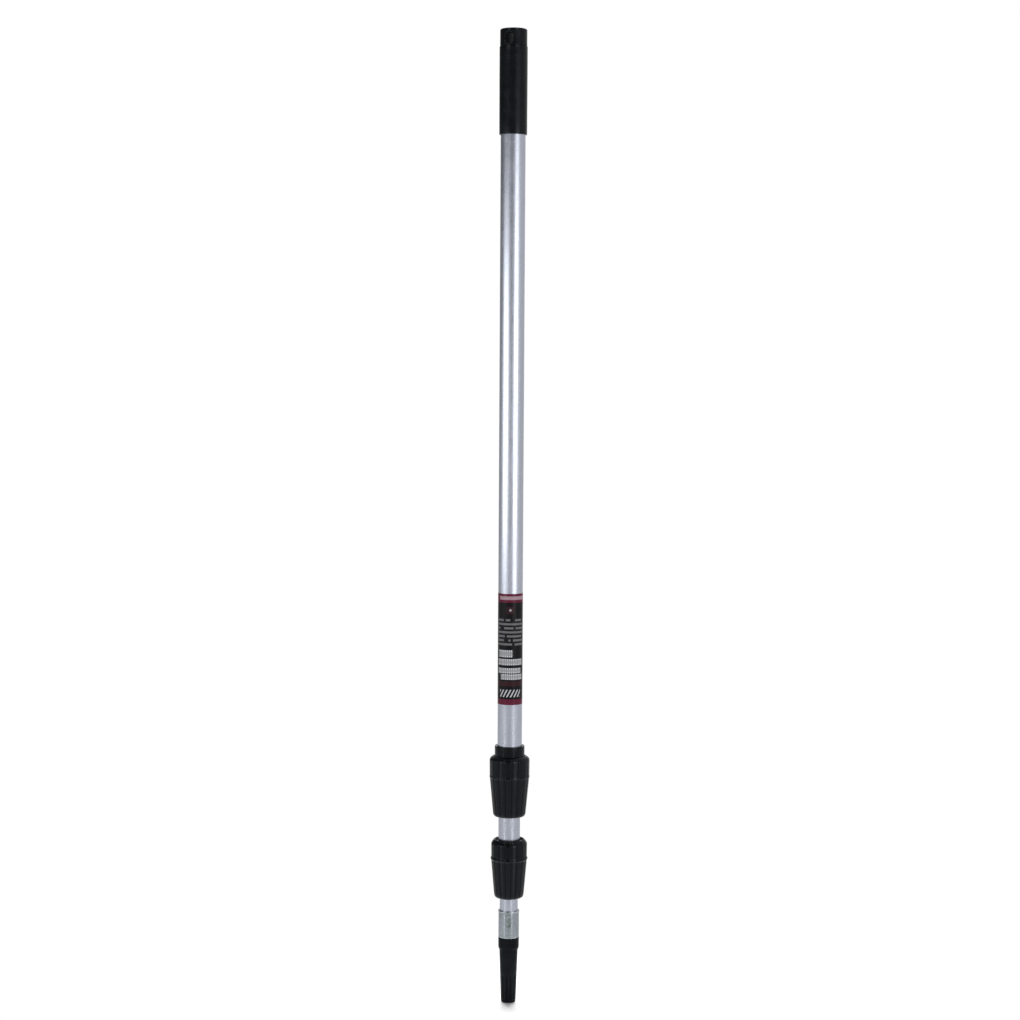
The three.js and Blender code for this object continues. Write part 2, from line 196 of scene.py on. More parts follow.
MOST_BEND = 4  # per millimetre, the sharpest that is told apart
SHORTEST_EDGE = 0.05


def mark_bends(piece):
    """Writes each vertex's sharpest convex and hollow bends, per millimetre, for edge wear and painted
    shade in hollows.
    """
    mesh = piece.data
    count = len(mesh.vertices)
    spot = np.zeros(count * 3)
    mesh.vertices.foreach_get("co", spot)
    spot = spot.reshape(-1, 3) / MM
    normal = np.zeros(count * 3)
    mesh.vertices.foreach_get("normal", normal)
    normal = normal.reshape(-1, 3)
    edge = np.zeros(len(mesh.edges) * 2, np.int64)
    mesh.edges.foreach_get("vertices", edge)
    a, b = edge.reshape(-1, 2).T
    along = spot[a] - spot[b]
    length = np.maximum(np.linalg.norm(along, axis=1), SHORTEST_EDGE)
    at_a = 2 * np.sum(normal[a] * along, axis=1) / length**2
    at_b = -2 * np.sum(normal[b] * along, axis=1) / length**2
    for name, sign in (("bend", 1), ("hollow", -1)):
        most = np.zeros(count)
        np.maximum.at(most, a, sign * at_a)
        np.maximum.at(most, b, sign * at_b)
        mark(mesh, name, np.minimum(most, MOST_BEND))


def place(piece, look, body, node, sharp=32):
    """Finishes a piece: its shading, its material, and what it stands for."""
    mark_bends(piece)
    mesh = piece.data
    mesh.polygons.foreach_set("use_smooth", [True] * len(mesh.polygons))
    mesh.set_sharp_from_angle(angle=math.radians(sharp))
    mesh.materials.clear()
    mesh.materials.append(look)
    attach(piece, body)
    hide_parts(node)
    return piece


def smooth(low, high, value):
    """0 below low, 1 above high, and a smooth step between them."""
    t = np.clip((value - low) / (high - low), 0, 1)
    return t * t * (3 - 2 * t)


# ---- Node trees.


class Graph:
    """A node tree. Sockets and plain values are both taken as inputs."""

    def __init__(self, tree):
        self.tree = tree

    def node(self, kind, inputs=(), **settings):
        """A new node. inputs holds its sockets' values by name or by number."""
        made = self.tree.nodes.new(kind)
        for key, value in settings.items():
            setattr(made, key, value)
        for key, value in dict(inputs).items():
            self.feed(made.inputs[key], value)
        return made

    def feed(self, socket, value):
        if isinstance(value, bpy.types.NodeSocket):
            self.tree.links.new(value, socket)
        else:
            socket.default_value = value

    def math(self, operation, a, b=0.0, clamp=False):
        made = self.node("ShaderNodeMath", {0: a, 1: b}, operation=operation, use_clamp=clamp)
        return made.outputs[0]

    def plus(self, a, b):
        return self.math("ADD", a, b)

    def minus(self, a, b):
        return self.math("SUBTRACT", a, b)

    def times(self, a, b):
        return self.math("MULTIPLY", a, b)

    def most(self, a, b):
        return self.math("MAXIMUM", a, b)

    def remap(self, value, low, high, to_low=0.0, to_high=1.0):
        """A smooth step from to_low, where value is low, to to_high, where it is high."""
        inputs = {"Value": value, "From Min": low, "From Max": high, "To Min": to_low, "To Max": to_high}
        return self.node("ShaderNodeMapRange", inputs, interpolation_type="SMOOTHSTEP").outputs[0]


class Look(Graph):
    """A material and the nodes that build it up."""

    def __init__(self, name, **fixed):
        self.material = bpy.data.materials.new(name)
        self.material.use_nodes = True
        super().__init__(self.material.node_tree)
        self.shader = self.tree.nodes["Principled BSDF"]
        for socket, value in fixed.items():
            self.shader.inputs[socket.replace("_", " ")].default_value = value
        self.where = self.node("ShaderNodeTexCoord").outputs["Object"]

    def set(self, name, value):
        """Feeds one of the shader's own sockets."""
        self.feed(self.shader.inputs[name], value)

    def stretched(self, x=1.0, y=1.0, z=1.0):
        """The object's coordinates, in metres, scaled along each axis."""
        made = self.node("ShaderNodeVectorMath", {0: self.where, 1: (x, y, z)}, operation="MULTIPLY")
        return made.outputs[0]

    def from_axis(self):
        """The distance from the pole's axis, in metres."""
        across = self.stretched(z=0.0)
        return self.node("ShaderNodeVectorMath", {0: across}, operation="LENGTH").outputs["Value"]

    def noise(self, vector, scale, detail=3.0, roughness=0.5):
        inputs = {"Vector": vector, "Scale": scale, "Detail": detail, "Roughness": roughness}
        return self.node("ShaderNodeTexNoise", inputs).outputs["Fac"]

    def attribute(self, name):
        """A number that mark() gave each vertex."""
        return self.node("ShaderNodeAttribute", attribute_name=name).outputs["Fac"]

    def blend(self, factor, a, b):
        """Colour a where factor is 0, and b where it is 1."""
        made = self.node("ShaderNodeMix", data_type="RGBA")
        for socket, value in ((made.inputs[0], factor), (made.inputs[6], a), (made.inputs[7], b)):
            self.feed(socket, value)
        return made.outputs[2]

    def hairlines(self, vector, scale, width):
        """Thin wandering lines, where a noise crosses its middle value."""
        distance = self.math("ABSOLUTE", self.minus(self.noise(vector, scale, 1.0), 0.5))
        return self.remap(distance, 0.0, width, 1.0, 0.0)

    def bump(self, height, distance, strength=1.0):
        """Raises the surface by height times distance, in metres."""
        inputs = {"Height": height, "Distance": distance, "Strength": strength}
        self.set("Normal", self.node("ShaderNodeBump", inputs).outputs[0])

    def wear(self, low, high):
        """How worn the surface is: sharp convex edges, broken up by noise."""
        edge = self.remap(self.attribute("bend"), low, high)
        patches = self.remap(self.noise(self.where, 900.0, 4.0, 0.7), 0.4, 0.62)
        return self.times(edge, patches)

    def hollow_shade(self, low, high):
        """How much painted shade darkens a surface in its hollows, broken up by noise."""
        patches = self.remap(self.noise(self.where, 500.0, 4.0, 0.6), 0.3, 0.6, 0.5, 1.0)
        return self.times(self.remap(self.attribute("hollow"), low, high), patches)


def grey(value, tint=(1.0, 1.0, 1.0)):
    return tuple(value * t for t in tint) + (1.0,)


# ---- Materials.


def aluminium(name, scuffs):
    """Drawn aluminium tube: fine lines along it, a faint bloom, and scuffs from sliding."""
    look = Look(name, Metallic=1.0, Anisotropic=0.55)
    lines = look.noise(look.stretched(1.0, 1.0, 0.012), 2600.0, 4.0, 0.65)
    bands = look.noise(look.stretched(1.0, 1.0, 0.02), 320.0, 2.0)
    bloom = look.noise(look.where, 38.0, 5.0, 0.6)
    scratch = look.hairlines(look.stretched(1.0, 1.0, 0.05), 700.0, 0.012)
    patch = look.remap(look.noise(look.stretched(1.0, 1.0, 0.2), 90.0), 0.5, 0.66)
    scuff = look.times(scratch, look.times(patch, scuffs))
    wear = look.wear(1.2, 3.0)

    base = look.blend(look.remap(lines, 0.3, 0.7), (0.515, 0.545, 0.63, 1), (0.585, 0.615, 0.70, 1))
    base = look.blend(look.remap(bloom, 0.42, 0.75, 0.0, 0.35), base, (0.49, 0.505, 0.56, 1))
    base = look.blend(look.most(scuff, wear), base, (0.74, 0.745, 0.76, 1))
    look.set("Base Color", base)

    rough = look.remap(lines, 0.25, 0.75, 0.23, 0.31)
    rough = look.plus(rough, look.remap(bloom, 0.45, 0.7, 0.0, 0.06))
    rough = look.plus(rough, look.times(scuff, 0.12))
    look.set("Roughness", rough)
    round_the_pole = look.node("ShaderNodeTangent", direction_type="RADIAL", axis="Z").outputs[0]
    look.set("Tangent", round_the_pole)
    relief = look.plus(look.times(lines, 0.6), look.times(bands, 0.2))
    look.bump(look.minus(relief, look.times(scuff, 0.8)), 0.00001, 0.6)
    return look.material


def zinc(name):
    """Zinc-plated steel: soft crystals, dull patches, bright edges, and tarnish where jaws pressed it.
    Painted shade darkens its hollows, and a painted dark reflection streak runs down its front and back.
    """
    look = Look(name, Metallic=1.0)
    cells = {"Vector": look.stretched(1.0, 1.0, 0.6), "Scale": 620.0, "Randomness": 1.0}
    crystal = look.node("ShaderNodeTexVoronoi", cells).outputs["Color"]
    facet = look.node("ShaderNodeSeparateColor", {"Color": crystal}).outputs[0]
    cloud = look.noise(look.stretched(1.0, 1.0, 0.35), 210.0, 5.0, 0.65)
    stain = look.remap(look.noise(look.stretched(1.0, 1.0, 0.5), 120.0, 4.0), 0.48, 0.68)
    wear = look.times(look.wear(0.9, 2.2), 0.4)
    base = look.blend(facet, (0.375, 0.42, 0.46, 1), (0.48, 0.53, 0.58, 1))
    base = look.blend(look.remap(cloud, 0.35, 0.7), base, (0.36, 0.395, 0.43, 1))
    base = look.blend(look.times(stain, 0.5), base, (0.24, 0.26, 0.265, 1))
    base = look.blend(wear, base, (0.72, 0.73, 0.74, 1))
    # Painted shade: the ferrule's hollows are darkened in the colour.
    hollow_shade = look.hollow_shade(0.15, 1.0)
    base = look.blend(hollow_shade, base, (0.10, 0.10, 0.09, 1))
    # Painted dark reflection streak down the front and back, darkest at the crimps, where the jaws also
    # tarnished the plating.
    streak_and_jaws = look.times(look.attribute("dark_streak_and_jaw_mark"), look.remap(cloud, 0.3, 0.6, 0.5, 0.8))
    base = look.blend(streak_and_jaws, base, (0.17, 0.19, 0.175, 1))
    look.set("Base Color", base)
    rough = look.plus(look.remap(cloud, 0.3, 0.7, 0.14, 0.22), look.times(stain, 0.1))
    rough = look.plus(rough, look.times(hollow_shade, 0.25))
    rough = look.plus(rough, look.times(streak_and_jaws, 0.35))
    look.set("Roughness", rough)
    relief = look.plus(look.times(facet, 0.3), cloud)
    look.bump(relief, 0.00004, 0.5)
    return look.material


PLASTIC_TINT = (0.90, 1.0, 1.20)


def plastic(name, shade, gloss, roughness, grain, worn, skin=0.0):
    """Moulded black plastic: a fine grain, handling shine, scratches, paler edges and painted shade in
    hollows.
    Nearer the pole's axis than skin, in millimetres, it is matt."""
    look = Look(name, IOR=1.5, Specular_IOR_Level=gloss, Specular_Tint=(0.93, 1.0, 1.14, 1.0))
    fine = look.noise(look.where, 3800.0, 3.0, 0.6)
    cloud = look.noise(look.where, 70.0, 4.0, 0.6)
    flow = look.noise(look.stretched(1.0, 1.0, 0.15), 260.0, 3.0)
    scratch = look.hairlines(look.stretched(1.0, 1.0, 0.4), 230.0, 0.006)
    patch = look.remap(look.noise(look.where, 160.0), 0.52, 0.68)
    scratch = look.times(scratch, patch)
    wear = look.times(look.wear(0.8, 2.4), worn)
    dark, pale = grey(shade, PLASTIC_TINT), grey(shade * 1.4, PLASTIC_TINT)
    base = look.blend(look.remap(cloud, 0.35, 0.65), dark, pale)
    base = look.blend(look.most(wear, look.times(scratch, 0.5)), base, grey(0.022))
    # Painted shade: grooves and other hollows are darkened to half the plastic's shade and made rougher.
    hollow_shade = look.hollow_shade(0.3, 1.5)
    look.set("Base Color", look.blend(hollow_shade, base, grey(shade * 0.5, PLASTIC_TINT)))
    rough = look.remap(cloud, 0.3, 0.7, roughness - 0.05, roughness + 0.05)
    rough = look.plus(rough, look.remap(flow, 0.3, 0.7, -0.03, 0.03))
    rough = look.plus(rough, look.times(scratch, 0.15))
    matt = look.remap(look.from_axis(), (skin - 1.5) * MM, skin * MM, 1.0, 0.0)
    dull = look.most(look.times(matt, 0.4), look.times(hollow_shade, 0.35))
    look.set("Roughness", look.math("ADD", rough, dull, clamp=True))
    relief = look.minus(look.times(fine, grain), look.times(scratch, 2.0))
    look.bump(look.plus(relief, look.times(flow, 2.0)), 0.000005)
    return look.material


def nylon(name):
    """Unpigmented nylon, a little translucent, with grey rub marks."""
    look = Look(name, IOR=1.53, Subsurface_Weight=0.15, Subsurface_Scale=0.002)
    cloud = look.noise(look.where, 220.0, 4.0)
    rub = look.remap(look.noise(look.stretched(1.0, 1.0, 0.1), 600.0, 3.0), 0.5, 0.7)
    base = look.blend(look.remap(cloud, 0.3, 0.7), (0.66, 0.64, 0.58, 1), (0.74, 0.72, 0.67, 1))
    base = look.blend(look.times(rub, 0.4), base, (0.36, 0.36, 0.36, 1))
    look.set("Base Color", base)
    look.set("Roughness", look.remap(cloud, 0.3, 0.7, 0.36, 0.52))
    look.bump(look.noise(look.where, 2400.0), 0.00002, 0.5)
    return look.material


def label_film(name):
    """The printed sleeve, with plain bars where the real one has words."""
    look = Look(name, IOR=1.5, Specular_IOR_Level=0.10, Coat_Weight=0.10, Coat_Roughness=0.10)
    top = span_of("label")[1] * MM + TIP_END
    axes = look.node("ShaderNodeSeparateXYZ", {"Vector": look.where}).outputs
    down = look.times(look.minus(top, axes["Z"]), 1 / MM)  # below the label's top
    # round_it is the angle round the tube from the middle of the print, in degrees.
    turn = {"Vector": look.where, "Axis": (0, 0, 1), "Angle": -math.radians(FRONT)}
    turned = look.node("ShaderNodeVectorRotate", turn).outputs[0]
    flat = look.node("ShaderNodeSeparateXYZ", {"Vector": turned}).outputs
    angle = look.math("ARCTAN2", flat["X"], look.times(flat["Y"], -1.0))
    round_it = look.times(angle, 180 / math.pi)

    def band(value, low, high, soft=0.25):
        """1 between low and high and 0 outside them, with soft edges."""
        rise = look.remap(value, low - soft, low + soft)
        return look.times(rise, look.remap(value, high - soft, high + soft, 1.0, 0.0))

    def words(low, high, seed, cell, share):
        """A row of bars, where a share of the cells, each cell degrees wide, are inked."""
        step = look.math("FLOOR", look.math("DIVIDE", look.plus(round_it, seed * 37.0), cell))
        inputs = {"Vector": look.node("ShaderNodeCombineXYZ", {"X": step, "Y": seed}).outputs[0]}
        chance = look.node("ShaderNodeTexWhiteNoise", inputs, noise_dimensions="2D").outputs["Value"]
        inked = look.math("LESS_THAN", chance, share)
        return look.times(band(down, low, high), inked)

    def blocks(pitch, gap):
        """Upright blocks at an even pitch round the tube, in degrees."""
        across = look.math("FLOORED_MODULO", round_it, pitch)
        return look.remap(across, gap - 0.25, gap + 0.25)

    def frames(low, high, pitch, gap, stroke, border):
        """Hollow upright blocks, with strokes in degrees and borders in millimetres."""
        across = look.math("FLOORED_MODULO", round_it, pitch)
        hollow = band(across, gap + stroke, pitch - stroke)
        hollow = look.times(hollow, band(down, low + border, high - border))
        return look.times(blocks(pitch, gap), look.minus(1.0, hollow))

    crimson = look.most(band(down, -5.0, 10.0), band(down, 120.5, 140.0))
    patch = look.times(band(down, 14.6, 22.9), band(round_it, -17.0, 17.0, 1.0))
    dim = look.most(patch, band(down, 99.8, 105.5))

    first_row, row_pitch, row_height = 28.8, 4.6, 2.4
    small = 0.0
    for row in range(7):
        start = first_row + row_pitch * row
        line = words(start, start + row_height, float(row), 11.0, 0.86)
        small = look.most(line, small)
    small = look.times(small, band(round_it, -68.0, 68.0, 1.0))
    small = look.times(small, blocks(2.75, 0.9))

    large = 0.0
    large_rows = (  # top, bottom, and where each starts and ends round the tube
        (64.3, 72.3, -60.0, 12.0),
        (74.5, 81.4, -66.0, 66.0),
        (84.8, 90.7, -66.0, 57.0),
        (91.8, 98.0, -48.0, 66.0),
    )
    for low, high, start, end in large_rows:
        line = look.times(band(down, low, high), frames(low, high, 9.0, 2.6, 2.3, 1.5))
        large = look.most(look.times(line, band(round_it, start, end, 0.5)), large)

    slanted = look.plus(round_it, look.times(down, 2.2))
    slanted = band(look.math("FLOORED_MODULO", slanted, 17.0), 3.0, 9.5, 0.8)
    emblem = look.times(band(down, 109.5, 118.0), band(round_it, -52.0, 52.0, 1.0))
    emblem = look.times(emblem, slanted)
    strap = look.times(words(2.9, 6.9, 31.0, 17.6, 0.7), blocks(4.4, 1.6))
    strap = look.times(strap, band(round_it, -75.0, 75.0, 1.0))

    off_height = look.math("ABSOLUTE", look.minus(down, 18.7))
    off_middle = look.times(look.math("ABSOLUTE", round_it), 0.25)
    diamond = look.remap(look.plus(off_height, off_middle), 1.4, 2.2, 1.0, 0.0)

    cloud = look.noise(look.where, 60.0, 4.0)
    base = look.blend(look.remap(cloud, 0.3, 0.7), (0.0036, 0.0036, 0.005, 1), (0.006, 0.0055, 0.007, 1))
    base = look.blend(dim, base, (0.030, 0.009, 0.013, 1))
    base = look.blend(crimson, base, (0.105, 0.011, 0.030, 1))
    base = look.blend(look.times(strap, 0.75), base, (0.60, 0.48, 0.53, 1))
    base = look.blend(look.times(diamond, 0.6), base, (0.60, 0.56, 0.58, 1))
    base = look.blend(look.times(small, 0.5), base, (0.40, 0.40, 0.42, 1))
    base = look.blend(look.times(large, 0.85), base, (0.70, 0.71, 0.74, 1))
    base = look.blend(look.times(emblem, 0.8), base, (0.66, 0.67, 0.70, 1))
    look.set("Base Color", base)
    scratch = look.hairlines(look.stretched(1.0, 1.0, 0.3), 260.0, 0.006)
    look.set("Roughness", look.plus(look.remap(cloud, 0.3, 0.7, 0.24, 0.36), scratch))
    look.bump(look.noise(look.stretched(1.0, 1.0, 0.3), 420.0, 2.0), 0.00004, 0.5)
    return look.material


TUBE_ALUMINIUM = aluminium("tube_aluminium", scuffs=0.25)
SLIDING_ALUMINIUM = aluminium("sliding_aluminium", scuffs=0.4)
ZINC_PLATE = zinc("zinc_plate")
LOCK_PLASTIC = plastic("lock_plastic", 0.0022, gloss=0.18, roughness=0.19, grain=0.25, worn=0.05)
GRIP_PLASTIC = plastic("grip_plastic", 0.0028, gloss=0.17, roughness=0.25, grain=0.6, worn=0.08)
CAP_SKIN = radius_of("hang_cap") - 0.8
CAP_PLASTIC = plastic(
    "cap_plastic", 0.0030, gloss=0.15, roughness=0.24, grain=0.6, worn=0.08, skin=CAP_SKIN
)
TIP_PLASTIC = plastic("tip_plastic", 0.0062, gloss=0.045, roughness=0.22, grain=0.5, worn=0.1)
NYLON = nylon("natural_nylon")
LABEL_FILM = label_film("label_film")

# ---- Tubes.

TUBE_SIDES = 128
GROOVE_DEPTH = 0.6
GROOVE_LENGTH = 16.0
GUIDE_START = 701.0  # a guide ring's height above the end of the tube it slides in
CRIMP_HEIGHT = 96.0
CRIMP_WIDTH = 5.6
CRIMP_LENGTH = 12.0
CRIMP_DEPTH = 0.8
CRIMP_WALL = (-2.4, 0.6)  # where its wall starts and ends, out from the crimp's outline


def plain_tube(name, radius, low, high):
    bore = radius - WALL
    outline = rounded((bore, low, 0.2), (radius, low, 0.3), (radius, high, 0.3), (bore, high, 0.2))
    return revolve(name, divided(outline, 40), TUBE_SIDES)


def grooved_tube(name, radius, low, high, groove):
    """A tube with a rolled groove for its guide ring."""
    bore, end, ramp = radius - WALL, groove + GROOVE_LENGTH, 1.0
    outline = rounded(
        (bore, low, 0.2),
        (radius, low, 0.3),
        (radius, groove - ramp, 0.8),
        (radius - GROOVE_DEPTH, groove, 0.8),
        (radius - GROOVE_DEPTH, end, 0.8),
        (radius, end + ramp, 0.8),
        (radius, high, 0.3),
        (bore, high, 0.2),
        (bore, end + ramp, 0.8),
        (bore - GROOVE_DEPTH, end, 0.8),
        (bore - GROOVE_DEPTH, groove, 0.8),
        (bore, groove - ramp, 0.8),
    )
    return revolve(name, divided(outline, 40), TUBE_SIDES)


def build_tubes():
    outer = plain_tube("outer_tube_drawn", OUTER_R, OUTER_END, OUTER_TOP)
    place(outer, TUBE_ALUMINIUM, "outer_section", "outer_tube")
    groove = OUTER_END + GUIDE_START
    middle = grooved_tube("middle_tube_drawn", MIDDLE_R, MIDDLE_END, MIDDLE_TOP, groove)
    place(middle, SLIDING_ALUMINIUM, "middle_section", "middle_tube")
    groove = MIDDLE_END + GUIDE_START
    inner = grooved_tube("inner_tube_drawn", INNER_R, INNER_END, INNER_TOP, groove)
    place(inner, SLIDING_ALUMINIUM, "inner_section", "inner_tube")


def build_label():
    low, high = span_of("label")
    inner = OUTER_R + FIT
    film = radius_of("label") - inner
    seam, extra = FRONT + 180, 0.12  # the film is thicker where its ends overlap, 6 degrees each way

    def overlap(azimuth, radius, height):
        away = np.abs((azimuth - seam + 180) % 360 - 180)
        return radius + extra * (1 - smooth(6, 7, away)) * (radius > inner + film / 2)

    outline = rounded((inner, low), (inner + film, low, 0.06), (inner + film, high, 0.06), (inner, high))
    label = revolve("label_sleeve", divided(outline, 10), 360, overlap)
    place(label, LABEL_FILM, "outer_section", "label")


# ---- Grip end.


def build_grip():
    low, high = span_of("handle_grip")
    bore, radius = OUTER_R + FIT, radius_of("handle_grip")
    outline = rounded(
        (bore, low, 0.3),
        (radius - 0.15, low, 1.3),
        (radius, high - 30),
        (radius, high, 0.8),
        (bore, high, 0.3),
    )
    grip = revolve("grip_sleeve", divided(outline, 12), 144)
    place(grip, GRIP_PLASTIC, "outer_section", "handle_grip")


HOLE_WIDTH = 10.0
HOLE_LENGTH = 12.5
HOLE_HEIGHT = -TIP_END / MM  # the frame's origin is the hole's centre


def hole_cutter(radius, rim):
    """The hanging hole's space along Y, flared so that its rims come out rounded."""
    half, straight = HOLE_WIDTH / 2, (HOLE_LENGTH - HOLE_WIDTH) / 2
    turn = np.radians(np.arange(0, 360, 7.5))
    out_x, out_z = np.cos(turn), np.sin(turn)
    x, z = half * out_x, half * out_z + straight * np.sign(out_z)
    # How far each ring spreads past the hole's outline, and how deep it lies under the cap's skin: a
    # quarter round from the bore out to the skin, then a wider ring clear of the cap.
    quarter = np.radians(np.linspace(90, 0, 6))
    spread = [*(rim * (1 - np.sin(quarter))), 1.3 * rim]
    depth = [*(rim * (1 - np.cos(quarter)) - 0.03), -3.0]
    rings = []
    for side in (1, -1):
        levels = list(zip(spread, depth))
        for s, d in levels if side < 0 else reversed(levels):
            ring_x, ring_z = x + s * out_x, z + s * out_z
            y = -side * (np.sqrt(radius**2 - ring_x**2) - d)
            rings.append(np.stack([ring_x, y, ring_z + HOLE_HEIGHT], -1))
    count = len(turn)
    faces = [tuple(range(count)), tuple((len(rings) - 1) * count + k for k in range(count))]
    for i in range(len(rings) - 1):
        for k in range(count):
            m = (k + 1) % count
            faces.append((i * count + k, i * count + m, (i + 1) * count + m, (i + 1) * count + k))
    return new_piece("hole_cutter", np.concatenate(rings), faces)


def build_cap():
    low, high = span_of("hang_cap")
    head = span_of("handle_grip")[1] + 0.3  # its underside, just clear of the grip
    radius, spigot = radius_of("hang_cap"), OUTER_R - WALL - FIT
    cup, cup_top = spigot - 1.8, head - 5
    outline = rounded(
        (cup, low, 0.3),
        (spigot, low, 0.6),
        (spigot, head),
        (radius, head, 0.5),
        (radius, high, 1.9),
        (0, high),
        (0, cup_top),
        (cup, cup_top, 1.0),
        arc=7,
    )
    cap = revolve("hanging_cap", divided(outline, 2.5, head), 144)
    cut(cap, hole_cutter(radius, 0.9))
    place(cap, CAP_PLASTIC, "outer_section", "hang_cap", sharp=40)


# ---- Twist locks. Heights are above the end of the tube that carries the lock.

NUT_BOTTOM = -31.0
CONE_BOTTOM = -27.0
CONE_TOP = -6.0
LIP_BOTTOM = -4.4
MALE_TURNS = 3
FEMALE_TURNS = 2
RIB_DEPTH = 1.2
MOUTH_DEPTH = 1.6  # of the flare at the top of a nut's bore


class Lock:
    """The sizes that a lock's body and nut share. neck holds the neck's radius, start and top."""

    def __init__(self, base, tube_r, sliding_r, root_over, depth, neck, nut_top, mouth_r):
        self.base = base
        self.tube_r = tube_r
        self.sliding_r = sliding_r
        self.root_r = tube_r + root_over
        self.thread_r = self.root_r + depth
        self.neck_r, self.neck_start, self.neck_top = neck
        self.nut_top = nut_top
        self.mouth_r = mouth_r
        self.bore_r = self.neck_r + 2 * RUNNING
        self.male_start = self.neck_start - 2 - MALE_TURNS * THREAD_PITCH


OUTER_LOCK = Lock(
    base=OUTER_END,
    tube_r=OUTER_R,
    sliding_r=MIDDLE_R,
    root_over=2.0,
    depth=1.0,
    neck=(17.1, 32.9, 50.5),
    nut_top=38.9,
    mouth_r=17.7,
)
INNER_LOCK = Lock(
    base=MIDDLE_END,
    tube_r=MIDDLE_R,
    sliding_r=INNER_R,
    root_over=1.7,
    depth=0.9,
    neck=(15.0, 31.0, 35.0),
    nut_top=36.8,
    mouth_r=17.0,
)


def thread_height(azimuth, height, start, turns):
    """How far a helical ridge stands up, from 0 to 1. It starts at azimuth 90."""
    turn = ((azimuth - 90) % 360) / 360
    nearest = np.round((height - start) / THREAD_PITCH - turn)
    nearest = np.clip(nearest, 0, turns - 1)
    away = np.abs(height - start - THREAD_PITCH * (nearest + turn))
    return 1 - smooth(0.5, 1.0, away)


def lock_body(name, lock):
    bore, lip = lock.tube_r + FIT, lock.sliding_r + 2 * RUNNING
    start = lock.base + lock.male_start
    outline = rounded(
        (lip, lock.base + LIP_BOTTOM, 0.3),
        (lock.root_r, lock.base + LIP_BOTTOM, 0.4),
        (lock.root_r, lock.base + lock.neck_start, 0.3),
        (lock.neck_r, lock.base + lock.neck_start + 0.8, 0.3),
        (lock.neck_r, lock.base + lock.neck_top, 0.9),
        (bore, lock.base + lock.neck_top - 0.8, 0.3),
        (bore, lock.base - FIT),
        (lip, lock.base - FIT),
    )
    outline = divided(outline, 0.5, start - 2, lock.base + lock.neck_start)

    def thread(azimuth, radius, height):
        outside = np.abs(radius - lock.root_r) < 0.01
        ridge = thread_height(azimuth, height, start, MALE_TURNS)
        return radius + outside * ridge * (lock.thread_r - lock.root_r)

    return revolve(name, outline, 144, thread)


def lock_nut(name, lock, outside):
    """A ribbed nut with a cone and a thread inside. outside is OUTER_NUT or INNER_NUT."""
    base, top = lock.base, lock.base + lock.nut_top
    cone_low, cone_high = lock.sliding_r + 1.9, lock.sliding_r + 4.1
    low_bore = lock.sliding_r + 0.7
    start = base + lock.male_start + THREAD_PITCH / 2
    crest = lock.root_r + 2 * RUNNING
    outline = rounded(
        *((r, base + z, round_off) for r, z, round_off in outside),
        (lock.mouth_r, top, 0.3),
        (lock.bore_r, top - MOUTH_DEPTH, 0.5),
        (lock.bore_r, base + CONE_TOP + 2, 0.4),
        (cone_high, base + CONE_TOP, 0.4),
        (cone_low, base + CONE_BOTTOM, 0.4),
        (low_bore, base + CONE_BOTTOM, 0.2),
        (low_bore, base + NUT_BOTTOM, 0.5),
        arc=6,
    )
    outline = divided(outline, 0.8)
    mouth_edge = lock.mouth_r + 0.2
    bottom_r = outside[0][0]
    ridge_z = max(outside)[1]  # the widest point's height

    def ribs_and_thread(azimuth, radius, height):
        across = ((azimuth - RIB_PHASE) / 360 * NUT_RIBS + 0.5) % 1 - 0.5  # 0 at a groove
        from_crest = 1 - 2 * np.abs(across)  # 0 on a rib's crest, 1 in a groove
        groove = np.abs(from_crest) ** 8
        faded = smooth(base + NUT_BOTTOM - 1.5, base + NUT_BOTTOM + 3, height)
        faded = faded * (1 - 0.6 * smooth(top - 2.5, top - 0.4, height))
        low_part = height < base + CONE_TOP
        ribbed = np.where(low_part, radius > bottom_r + 0.1, radius > mouth_edge)
        # A rib's flanks stand a little prouder than its crest, most of all above the widest point.
        crown = -0.08 - 0.14 * smooth(base + ridge_z - 1, base + ridge_z + 2, height)
        depth = RIB_DEPTH * groove + crown * from_crest**2
        radius = radius - np.where(ribbed, depth * faded, 0)
        in_bore = np.abs(radius - lock.bore_r) < 0.01
        ridge = thread_height(azimuth, height, start, FEMALE_TURNS)
        return radius - in_bore * ridge * (lock.bore_r - crest)

    return revolve(name, outline, NUT_RIBS * SIDES_PER_RIB, ribs_and_thread)


# Each nut's outside, as (radius, height, rounding) from bottom to top.
OUTER_NUT = (
    (17.2, NUT_BOTTOM, 0.8),
    (18.6, NUT_BOTTOM + 2, 1.6),
    (22.6, 13.6, 0.4),
    (23.04, 14.4, 0.4),
    (23.04, 15.2, 0.4),
    (22.7, 16.2, 0.4),
    (22.9, 35.0, 1.9),
    (21.0, 37.3, 1.7),
    (18.2, 38.9, 0.6),
)
INNER_NUT = (
    (14.2, NUT_BOTTOM, 0.5),
    (16.4, NUT_BOTTOM + 1.3, 1.5),
    (17.1, NUT_BOTTOM + 4.5, 2.0),
    (20.5, 13.3, 0.5),
    (21.2, 14.2, 0.5),
    (21.2, 15.4, 0.6),
    (20.4, 17.0, 0.8),
    (20.6, 32.4, 1.3),
    (18.9, 35.1, 1.3),
    (17.4, 36.8, 0.5),
)


def build_locks():
    for prefix, lock, outside, holder in (
        ("outer", OUTER_LOCK, OUTER_NUT, "outer_section"),
        ("inner", INNER_LOCK, INNER_NUT, "middle_section"),
    ):
        body = lock_body(f"{prefix}_lock_collar", lock)
        place(body, LOCK_PLASTIC, holder, f"{prefix}_lock_body")
        nut = lock_nut(f"{prefix}_lock_sleeve", lock, outside)
        place(nut, LOCK_PLASTIC, f"{prefix}_nut", f"{prefix}_lock_nut", sharp=45)
        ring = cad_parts[f"{prefix}_clamp_ring"]
        ring.data.materials.clear()
        ring.data.materials.append(NYLON)


# ---- Guide rings and end plugs.


